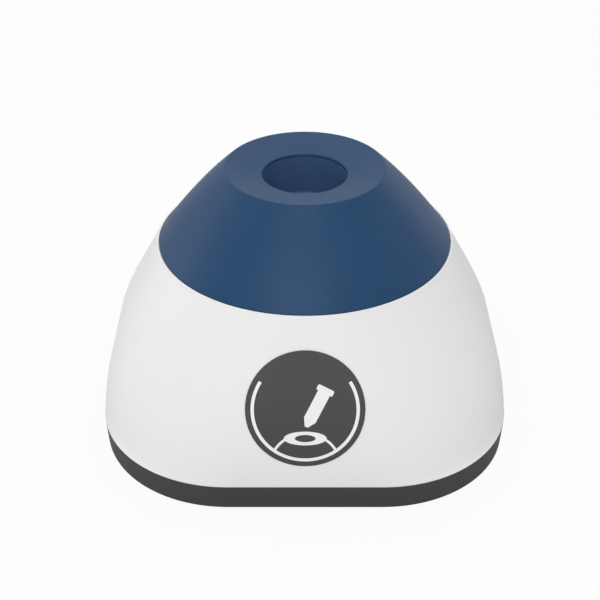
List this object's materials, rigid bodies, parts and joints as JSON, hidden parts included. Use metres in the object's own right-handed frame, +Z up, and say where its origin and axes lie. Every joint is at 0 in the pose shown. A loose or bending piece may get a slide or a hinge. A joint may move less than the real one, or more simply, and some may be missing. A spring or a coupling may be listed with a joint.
{
  "type": "vortex mixer",
  "caption": "Compact touch-start vortex mixer: rounded white housing on a dark base, blue rubber boot with a tube well, driven by an eccentric crank.",
  "frame": {"origin": "on the standing surface, at the middle of the housing's box", "axes": "+Z up, front with the badge towards -Y, power socket towards +Y"},
  "size_m": [0.1008, 0.1008, 0.0654],
  "materials": {
    "white_shell": "satin moulded ABS",
    "grey_base": "fine-textured moulded ABS",
    "foot_rubber": "matt",
    "zinc_steel": "zinc plated",
    "ballast_steel": "blanked and zinc plated",
    "ground_steel": "ground",
    "spring_steel": "phosphated",
    "spring_wire": "drawn wire",
    "aluminium_plate": "milled",
    "bronze": "sintered bronze",
    "motor_steel": "drawn, zinc plated",
    "black_plastic": "moulded",
    "ferrite": "ground ferrite",
    "tinned_brass": "tinned",
    "winding_copper": "enamelled wire",
    "commutator_copper": "turned copper",
    "weight_brass": "turned",
    "black_steel": "black oxide",
    "bearing_steel": "lapped",
    "cage_plastic": "moulded",
    "cup_plastic": "moulded",
    "boot_rubber": "satin silicone rubber",
    "red_plastic": "moulded",
    "board_green": "solder mask",
    "capacitor_sleeve": "shrink sleeve",
    "connector_nylon": "moulded nylon",
    "red_lead": "PVC",
    "black_lead": "PVC",
    "badge_grey": "fine satin",
    "badge_white": "pad print"
  },
  "bodies": {
    "root": {"main_shell": "white_shell", "base_pan": "grey_base", "suction_feet": "foot_rubber", "base_screws": "zinc_steel", "ballast_plate": "ballast_steel", "ballast_screws": "zinc_steel", "guide_posts": "ground_steel", "post_clips": "spring_steel", "switch_bracket": "aluminium_plate", "bracket_screw": "zinc_steel", "switch_body": "black_plastic", "switch_screws": "zinc_steel", "switch_terminals": "tinned_brass", "control_board": "board_green", "board_standoffs": "weight_brass", "board_screws": "zinc_steel", "board_capacitor": "capacitor_sleeve", "board_chips": "black_plastic", "board_connectors": "connector_nylon", "dc_jack": "black_plastic", "motor_leads": "red_lead", "switch_leads": "black_lead", "badge_plate": "badge_grey", "badge_print": "badge_white"},
    "carriage": {"carriage_plate": "aluminium_plate", "guide_bushes": "bronze", "motor_can": "motor_steel", "motor_end_cap": "black_plastic", "motor_bushing": "bronze", "motor_magnets": "ferrite", "motor_screws": "zinc_steel", "motor_terminals": "tinned_brass", "return_springs": "spring_wire"},
    "rotor": {"motor_shaft": "ground_steel", "motor_armature": "winding_copper", "motor_commutator": "commutator_copper", "eccentric_crank": "ground_steel", "counterweight": "weight_brass", "counterweight_screws": "black_steel", "crank_set_screw": "black_steel", "bearing_inner_ring": "bearing_steel", "pin_clip": "spring_steel", "flexible_boot": "boot_rubber"},
    "head": {"tube_cup": "cup_plastic", "bearing_outer_ring": "bearing_steel", "bearing_balls": "bearing_steel", "ball_cage": "cage_plastic", "hub_circlip": "spring_steel"},
    "plunger": {"switch_plunger": "red_plastic"}
  },
  "joints": [
    {"name": "press", "type": "slide", "parent": "root", "child": "carriage", "axis": [0, 0, -1], "range_m": [0, 0.0004], "stiffness_N_per_m": 6000, "springref_m": -0.0006, "deforming": ["return_springs"]},
    {"name": "spin", "type": "hinge", "parent": "carriage", "child": "rotor", "pos_m": [0, 0, 0.04], "axis": [0, 0, 1], "continuous": true},
    {"name": "orbit", "type": "hinge", "parent": "rotor", "child": "head", "pos_m": [0, 0.002, 0.046], "axis": [0, 0, 1], "continuous": true},
    {"name": "switch_press", "type": "slide", "parent": "root", "child": "plunger", "axis": [0, 0, -1], "range_m": [0, 0.0004]}
  ],
  "couplings": [
    {"joint": "orbit", "follows": "spin", "ratio": -1},
    {"joint": "switch_press", "follows": "press", "ratio": 1}
  ]
}
